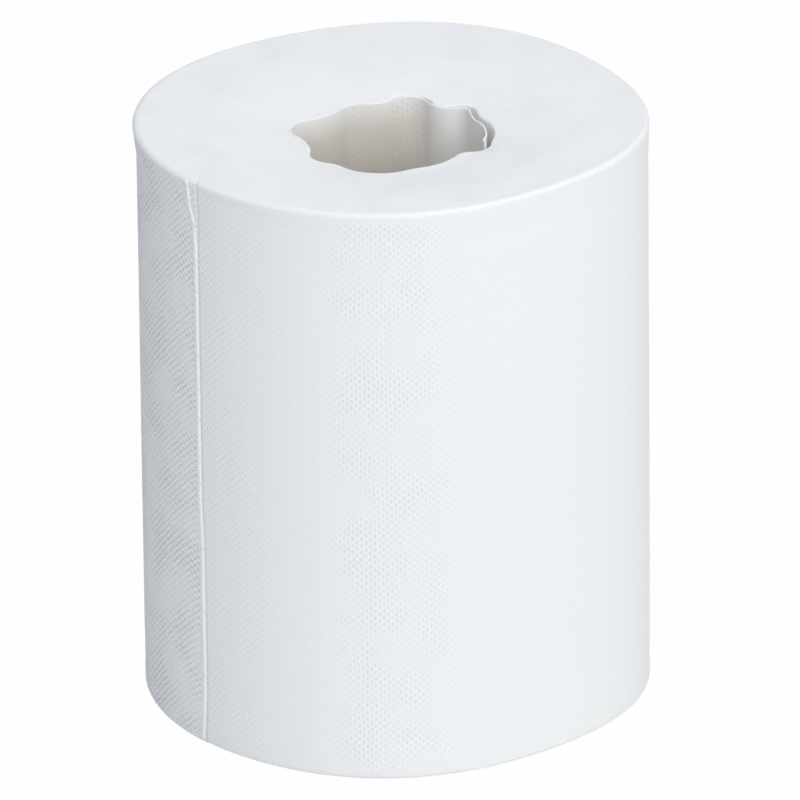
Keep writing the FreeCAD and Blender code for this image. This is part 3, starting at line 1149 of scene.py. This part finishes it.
@dataclass(frozen=True)
class WoundEdges:
    """The edges of the turns, as they show on an end of the roll."""

    patch_fineness: float = 60.0
    patch_run: tuple = (0.35, 0.7)
    patch_least: float = 0.1
    gap_run: tuple = (-1.0, -0.2)
    fluff_fineness: float = 1400.0
    fluff: float = 1.6
    lump_fineness: float = 260.0
    lump: float = 2.2

    def build(self) -> bpy.types.NodeTree:
        """Make the node group.

        Returns:
            The group; it puts out a height in metres, a mask of painted shade in the gaps between turns and
            a mask of the loose fibre.
        """
        wiring, source, target = new_group(
            "wound_edges",
            {"Turns": "NodeSocketVector", "Place": "NodeSocketVector", "Depth": "NodeSocketFloat"},
            {"Height": "NodeSocketFloat", "Gap Shade": "NodeSocketFloat", "Fluff": "NodeSocketFloat"},
        )
        given = source.outputs
        fine = wiring.wave(wiring.apart(given["Turns"])["X"], 1.0)
        patch = wiring.noise(given["Place"], self.patch_fineness, 3.0)
        patch = wiring.ramp(patch, *self.patch_run, self.patch_least, 1.0)
        fluff = wiring.uneven(given["Place"], self.fluff_fineness, 4.0, 1.0)
        lumps = wiring.uneven(given["Place"], self.lump_fineness, 2.0, self.lump)
        relief = wiring.math("ADD", wiring.math("MULTIPLY", fine, patch), lumps)
        relief = wiring.math("MULTIPLY_ADD", fluff, self.fluff, relief)
        # Painted shade in the gaps between the turns' edges.
        gaps = wiring.math("MULTIPLY", wiring.ramp(fine, *self.gap_run, 1.0, 0.0), patch)
        wiring.feed(target.inputs["Height"], wiring.math("MULTIPLY", relief, given["Depth"]))
        wiring.feed(target.inputs["Gap Shade"], gaps)
        wiring.feed(target.inputs["Fluff"], fluff)
        return wiring.tree


@dataclass(frozen=True)
class Tone:
    """The colours of a finish: its plain fibre, the painted shade in its hollows, the lighter colour of its
    raised fibre, partly a painted highlight where the light catches it, and its surface.
    """

    body: tuple = (0.90, 0.90, 0.89, 1.0)
    # Painted shade: the colour given to the pores and to the gaps between turns, where shade falls.
    hollow_shade: tuple = (0.60, 0.62, 0.66, 1.0)
    # The lit colour over raised fibre, partly a painted highlight.
    lit: tuple = (0.97, 0.97, 0.96, 1.0)
    roughness: float = 0.92
    rough_hollow: float = 1.0
    sheen: float = 0.12
    gloss: float = 0.25


@dataclass(frozen=True)
class WebFinish:
    """The flat of the web, with its open mesh."""

    name: str = "wiping_web"
    tone: Tone = Tone()
    along: float = 2.79 * MM
    up: float = 2.42 * MM
    depth: float = 0.11 * MM
    border: float = 6.0 * MM
    least: float = 0.10
    # How strongly the painted shade in the pores darkens the web.
    pore_dark: float = 0.62
    # How strongly the raised threads and fibre take the lit colour, partly a painted highlight.
    raised_light: float = 0.9

    def make(self, weave: bpy.types.NodeTree, height: float) -> bpy.types.Material:
        """Make the material.

        Args:
            weave: The mesh group.
            height: The web's width, which is the roll's height.

        Returns:
            The material.
        """
        material, wiring, shader = new_material(self.name, self.tone)
        web = wiring.add("ShaderNodeUVMap", uv_map=WEB_MAP).outputs["UV"]
        place = wiring.add("ShaderNodeTexCoord").outputs["Object"]
        mesh = wiring.add("ShaderNodeGroup", node_tree=weave)
        for label, value in (
            ("Web", web), ("Place", place), ("Along", self.along), ("Up", self.up), ("Depth", self.depth),
            ("Roll Height", height), ("Border", self.border), ("Least", self.least),
        ):
            wiring.feed(mesh.inputs[label], value)
        dark = wiring.math("MULTIPLY", mesh.outputs["Painted Shade"], self.pore_dark)
        light = wiring.math("MULTIPLY", mesh.outputs["Fibre And Highlight"], self.raised_light)
        body = self.body(wiring, place, height)
        dress(wiring, shader, self.tone, body, dark, light, mesh.outputs["Height"])
        return material

    def body(self, wiring: Wiring, place: bpy.types.NodeSocket, height: float) -> object:
        """Give the plain fibre colour, the same everywhere."""
        return self.tone.body


@dataclass(frozen=True)
class LipFinish(WebFinish):
    """The folded lip of the loose end, where layers lie together and the mesh is closed; its lighter colour
    is partly from the closed layers and partly a painted highlight on the ridge.
    """

    name: str = "folded_lip"
    # A lighter body, partly a painted highlight on the ridge, and lighter painted shade in its closed pores.
    tone: Tone = Tone(body=(0.935, 0.935, 0.925, 1.0), hollow_shade=(0.76, 0.77, 0.79, 1.0))
    depth: float = 0.03 * MM
    pore_dark: float = 0.3
    raised_light: float = 0.2


@dataclass(frozen=True)
class HoleFinish(WebFinish):
    """The web inside the hole, with painted shade that warms and dims it down the hole and a painted glow
    towards its right side, for the light that passes from turn to turn.
    """

    name: str = "hole_turns"
    tone: Tone = Tone(
        body=(0.945, 0.94, 0.92, 1.0), hollow_shade=(0.62, 0.58, 0.50, 1.0), lit=(0.97, 0.96, 0.94, 1.0),
    )
    # Painted shade down the hole, warm and dim, and a lighter painted glow on the hole's right side.
    deep_shade: tuple = (0.80, 0.755, 0.675, 1.0)
    loose: tuple = (0.98, 0.965, 0.94, 1.0)
    depth: float = 0.06 * MM
    border: float = 1.5 * MM
    least: float = 0.02
    raised_light: float = 0.4
    # Where the painted shade starts below the upper end and where it is full.
    glow_start: float = 2 * MM
    glow_reach: float = 13 * MM
    # Where the painted glow on the hole's right side starts and where it is full.
    glow_right_from: float = 2 * MM
    glow_right_full: float = 20 * MM

    def body(self, wiring: Wiring, place: bpy.types.NodeSocket, height: float) -> bpy.types.NodeSocket:
        """Paint shade that warms and dims the fibre down the hole, less towards the hole's right side, which
        takes a painted glow.

        Args:
            wiring: The material's wiring.
            place: The socket with the place on the roll.
            height: The roll's height.

        Returns:
            The colour's socket.
        """
        where = wiring.apart(place)
        down = wiring.ramp(where["Z"], height - self.glow_start, height - self.glow_reach, 0.0, 1.0)
        aside = wiring.ramp(where["X"], self.glow_right_from, self.glow_right_full, 0.0, 1.0)
        inner = blended(wiring, aside, self.deep_shade, self.loose)
        return blended(wiring, down, self.tone.body, inner)


@dataclass(frozen=True)
class CutEndFinish:
    """The ends of the roll, where a hundred turns show their edges, with painted shade in the gaps between
    them.
    """

    name: str = "cut_edges"
    tone: Tone = Tone(body=(0.925, 0.925, 0.915, 1.0), hollow_shade=(0.80, 0.81, 0.82, 1.0))
    depth: float = 0.028 * MM
    # How strongly the painted shade darkens the gaps between turns.
    gap_dark: float = 0.3

    def make(self, edges: bpy.types.NodeTree) -> bpy.types.Material:
        """Make the material.

        Args:
            edges: The group of wound edges.

        Returns:
            The material.
        """
        material, wiring, shader = new_material(self.name, self.tone)
        turns = wiring.add("ShaderNodeUVMap", uv_map=WEB_MAP).outputs["UV"]
        place = wiring.add("ShaderNodeTexCoord").outputs["Object"]
        wound = wiring.add("ShaderNodeGroup", node_tree=edges)
        for label, value in (("Turns", turns), ("Place", place), ("Depth", self.depth)):
            wiring.feed(wound.inputs[label], value)
        dark = wiring.math("MULTIPLY", wound.outputs["Gap Shade"], self.gap_dark)
        fluff, relief = wound.outputs["Fluff"], wound.outputs["Height"]
        dress(wiring, shader, self.tone, self.tone.body, dark, fluff, relief)
        return material


def new_material(name: str, tone: Tone) -> tuple[bpy.types.Material, Wiring, bpy.types.Node]:
    """Start a material with its plain values on the shader.

    Args:
        name: The material's name.
        tone: Its colours and roughness.

    Returns:
        The material, its wiring and its shader.
    """
    material = bpy.data.materials.new(name)
    material.use_nodes = True
    wiring = Wiring(material.node_tree)
    shader = material.node_tree.nodes["Principled BSDF"]
    shader.inputs["Sheen Weight"].default_value = tone.sheen
    shader.inputs["Specular IOR Level"].default_value = tone.gloss
    return material, wiring, shader


def blended(wiring: Wiring, share: object, first: object, second: object) -> bpy.types.NodeSocket:
    """Blend two colours.

    Args:
        wiring: The material's wiring.
        share: How much of the second colour, from 0 to 1.
        first: The first colour, or its socket.
        second: The second colour, or its socket.

    Returns:
        The blend's socket.
    """
    mix = wiring.add("ShaderNodeMix", data_type="RGBA")
    colours = [socket for socket in mix.inputs if socket.type == "RGBA"]
    wiring.feed(mix.inputs[0], share)
    wiring.feed(colours[0], first)
    wiring.feed(colours[1], second)
    return next(socket for socket in mix.outputs if socket.type == "RGBA")


def dress(
    wiring: Wiring, shader: bpy.types.Node, tone: Tone, body: object, dark: object, light: object,
    height: object,
) -> None:
    """Feed a shader its colour, roughness and relief.

    Args:
        wiring: The material's wiring.
        shader: Its shader.
        tone: Its colours and roughness.
        body: The plain fibre colour, or its socket.
        dark: Mask of the painted shade in the hollows, from 0 to 1.
        light: Mask of the raised fibres, whose lit colour is partly a painted highlight, from 0 to 1.
        height: The relief, in metres.
    """
    # The lit colour over the raised fibre is partly a painted highlight.
    colour = blended(wiring, light, body, tone.lit)
    # The hollow colour laid over the pores and gaps is painted shade.
    wiring.feed(shader.inputs["Base Color"], blended(wiring, dark, colour, tone.hollow_shade))
    wiring.feed(shader.inputs["Roughness"], wiring.ramp(dark, 0.0, 1.0, tone.roughness, tone.rough_hollow))
    bump = wiring.add("ShaderNodeBump")
    wiring.feed(bump.inputs["Strength"], 1.0)
    wiring.feed(bump.inputs["Distance"], 1.0)
    wiring.feed(bump.inputs["Height"], height)
    wiring.feed(shader.inputs["Normal"], bump.outputs["Normal"])


@dataclass(frozen=True)
class Lamp:
    """One soft lamp, placed round the roll by direction."""

    name: str
    azimuth: float
    elevation: float
    power: float
    size: float
    colour: tuple
    distance: float = 2.4

    def make(self, target: Vector) -> None:
        """Hang the lamp and aim it at the roll.

        Args:
            target: What it points at.
        """
        data = bpy.data.lights.new(self.name, "AREA")
        data.shape = "DISK"
        data.size = self.size
        data.energy = self.power
        data.color = self.colour
        lamp = bpy.data.objects.new(self.name, data)
        turn, rise = math.radians(self.azimuth), math.radians(self.elevation)
        way = Vector((math.sin(turn) * math.cos(rise), -math.cos(turn) * math.cos(rise), math.sin(rise)))
        lamp.matrix_world = Matrix.Translation(target + way * self.distance) @ (
            way.to_track_quat("Z", "Y").to_matrix().to_4x4()
        )
        bpy.context.scene.collection.objects.link(lamp)


@dataclass
class Studio:
    """The floor, the white surroundings and the lamps."""

    target: Vector
    floor_half: float = 8.0
    floor_drop: float = 0.4 * MM
    floor_tint: tuple = (0.9, 0.9, 0.9, 1.0)
    floor_roughness: float = 0.9
    floor_white: float = 0.97
    ambient: tuple = (0.79, 0.86, 1.0, 1.0)
    ambient_strength: float = 0.352
    lamps: tuple = (
        Lamp("key", 32.0, 25.0, 12.0, 1.5, (0.97, 0.995, 0.945)),
        Lamp("front", 2.0, 25.0, 12.6, 1.5, (1.0, 0.975, 0.97)),
        Lamp("right_fill", 106.0, 20.0, 7.4, 1.6, (1.0, 0.955, 0.88)),
        Lamp("top_box", 0.0, 85.0, 24.4, 1.6, (0.97, 0.985, 0.985)),
    )

    def build(self) -> None:
        """Make the floor, the surroundings and the lamps."""
        for lamp in self.lamps:
            lamp.make(self.target)
        self.build_floor()
        self.build_world()

    def build_floor(self) -> None:
        """Lay a wide pale floor that the camera sees as nearly white and that keeps shadows."""
        shape = bmesh.new()
        bmesh.ops.create_grid(shape, x_segments=1, y_segments=1, size=self.floor_half)
        bmesh.ops.translate(shape, verts=shape.verts[:], vec=(0, 0, -self.floor_drop))
        floor = finish_piece("floor", shape)
        material = bpy.data.materials.new("floor")
        material.use_nodes = True
        wiring = Wiring(material.node_tree)
        shader = material.node_tree.nodes["Principled BSDF"]
        shader.inputs["Base Color"].default_value = self.floor_tint
        shader.inputs["Roughness"].default_value = self.floor_roughness
        shader.inputs["Specular IOR Level"].default_value = 0.0
        glow = wiring.add("ShaderNodeEmission")
        share = wiring.math("MULTIPLY", self.seen_directly(wiring), self.floor_white)
        blend = wiring.add("ShaderNodeMixShader")
        wiring.feed(blend.inputs[0], share)
        wiring.feed(blend.inputs[1], shader.outputs[0])
        wiring.feed(blend.inputs[2], glow.outputs[0])
        output = material.node_tree.nodes["Material Output"]
        wiring.feed(output.inputs["Surface"], blend.outputs[0])
        floor.data.materials.append(material)

    def seen_directly(self, wiring: Wiring) -> bpy.types.NodeSocket:
        """Tell what the camera sees straight, in a reflection or through something clear.

        Args:
            wiring: The material's wiring.

        Returns:
            A socket that is 1 for such a ray and 0 for others.
        """
        path = wiring.add("ShaderNodeLightPath")
        seen = wiring.math("ADD", path.outputs["Is Camera Ray"], path.outputs["Is Glossy Ray"])
        seen = wiring.math("ADD", seen, path.outputs["Is Transmission Ray"])
        return wiring.math("MINIMUM", seen, 1.0)

    def build_world(self) -> None:
        """Surround the roll with a cool pale light that the camera sees as white."""
        world = bpy.data.worlds.new("surroundings")
        world.use_nodes = True
        bpy.context.scene.world = world
        wiring = Wiring(world.node_tree)
        lit = world.node_tree.nodes["Background"]
        lit.inputs["Color"].default_value = self.ambient
        lit.inputs["Strength"].default_value = self.ambient_strength
        white = wiring.add("ShaderNodeBackground")
        blend = wiring.add("ShaderNodeMixShader")
        wiring.feed(blend.inputs[0], self.seen_directly(wiring))
        wiring.feed(blend.inputs[1], lit.outputs[0])
        wiring.feed(blend.inputs[2], white.outputs[0])
        wiring.feed(world.node_tree.nodes["World Output"].inputs["Surface"], blend.outputs[0])


@dataclass(frozen=True)
class Camera:
    """The photograph's view: from far off, a little above the roll."""

    elevation: float = 23.71
    distance: float = 4.418
    lens: float = 604.9
    sensor: float = 36.0
    roll: float = -0.57
    target: tuple = (0.00206, 0.0, 0.0989)

    def make(self) -> None:
        """Create the camera and make it the scene's."""
        data = bpy.data.cameras.new("camera")
        data.lens = self.lens
        data.sensor_width = self.sensor
        rise = math.radians(self.elevation)
        back = Vector((0, -math.cos(rise), math.sin(rise)))
        turn = (-back).to_track_quat("-Z", "Y").to_matrix().to_4x4()
        camera = bpy.data.objects.new("camera", data)
        camera.matrix_world = (
            Matrix.Translation(Vector(self.target) + back * self.distance)
            @ turn @ Matrix.Rotation(math.radians(self.roll), 4, "Z")
        )
        bpy.context.scene.collection.objects.link(camera)
        bpy.context.scene.camera = camera


@dataclass
class TowelRoll:
    """The whole roll: the wound body, the free inner turn and the lip of the loose end."""

    node: bpy.types.Object

    def build(self) -> None:
        """Build every piece, dress it and report it."""
        cad = CadRoll(self.node)
        outline = Outline(cad)
        creases = Creases(cad.height)
        tail = TailLine(cad.height)
        wound = WoundWeb(outline, creases, tail)
        pieces = [
            wound.build(),
            InnerTurn(outline, wound).build(),
            TailLip(outline, wound, tail).build(),
        ]
        web_mesh = MeshWeave().build()
        web = WebFinish().make(web_mesh, cad.height)
        hole = HoleFinish().make(web_mesh, cad.height)
        lip = LipFinish().make(web_mesh, cad.height)
        ends = CutEndFinish().make(WoundEdges().build())
        for piece, outer in zip(pieces, (web, web, lip)):
            for material in (outer, ends, hole):
                piece.data.materials.append(material)
            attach(piece, BODY)
            LOG.info("%s: %d faces", piece.name, len(piece.data.polygons))
        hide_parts(NODE)


def corners(box: tuple[Vector, Vector]) -> list[list[float]]:
    """Write a box's two corners as plain lists."""
    return [list(corner) for corner in box]


def main() -> None:
    """Build the roll, its studio and its camera."""
    logging.basicConfig(level=logging.INFO, format="%(message)s")
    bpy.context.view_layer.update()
    bpy.context.scene.view_settings.view_transform = "Standard"
    TowelRoll(frame["nodes"][NODE]).build()
    camera = Camera()
    camera.make()
    Studio(Vector(camera.target)).build()


if __name__ == "__main__":
    main()
